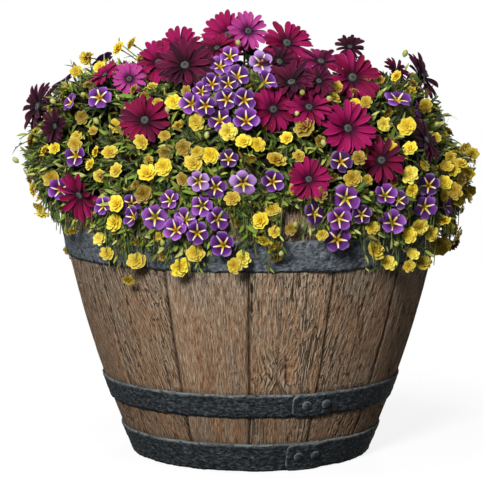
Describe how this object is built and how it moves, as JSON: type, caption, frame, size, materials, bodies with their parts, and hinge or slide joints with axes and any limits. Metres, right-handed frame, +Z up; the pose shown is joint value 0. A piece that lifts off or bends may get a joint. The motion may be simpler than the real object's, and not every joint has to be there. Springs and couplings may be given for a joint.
{
  "type": "barrel planter",
  "caption": "Half-barrel planter of bevelled wooden staves with riveted iron hoops and a boarded bottom, filled with potting mix and planted with daisies and trailing flowers.",
  "frame": {"origin": "on the floor at the middle of the barrel", "axes": "+Z up, front towards -Y, +X to the right of the front"},
  "size_m": [0.6, 0.5524, 0.569],
  "materials": {
    "staves": "weathered, bleached under the top hoop",
    "head": "rough sawn",
    "hoops": "blackened, worn along the edges",
    "rivets": "blackened",
    "potting_mix": "loose bark compost",
    "daisy_plant": "leaves with magenta daisies",
    "trailing_plants": "leaves with purple and yellow blooms"
  },
  "bodies": {
    "root": {"stave_01": "staves", "stave_02": "staves", "stave_03": "staves", "stave_04": "staves", "stave_05": "staves", "stave_06": "staves", "stave_07": "staves", "stave_08": "staves", "stave_09": "staves", "stave_10": "staves", "stave_11": "staves", "stave_12": "staves", "stave_13": "staves", "stave_14": "staves", "head_board_1": "head", "head_board_2": "head", "head_board_3": "head", "head_board_4": "head", "head_board_5": "head", "bottom_hoop": "hoops", "middle_hoop": "hoops", "top_hoop": "hoops", "hoop_rivets": "rivets", "potting_mix": "potting_mix", "daisy_plant": "daisy_plant", "trailing_plant_front_left": "trailing_plants", "trailing_plant_front_right": "trailing_plants", "trailing_plant_right": "trailing_plants", "trailing_plant_back_right": "trailing_plants", "trailing_plant_back_left": "trailing_plants", "trailing_plant_left": "trailing_plants"}
  },
  "joints": []
}
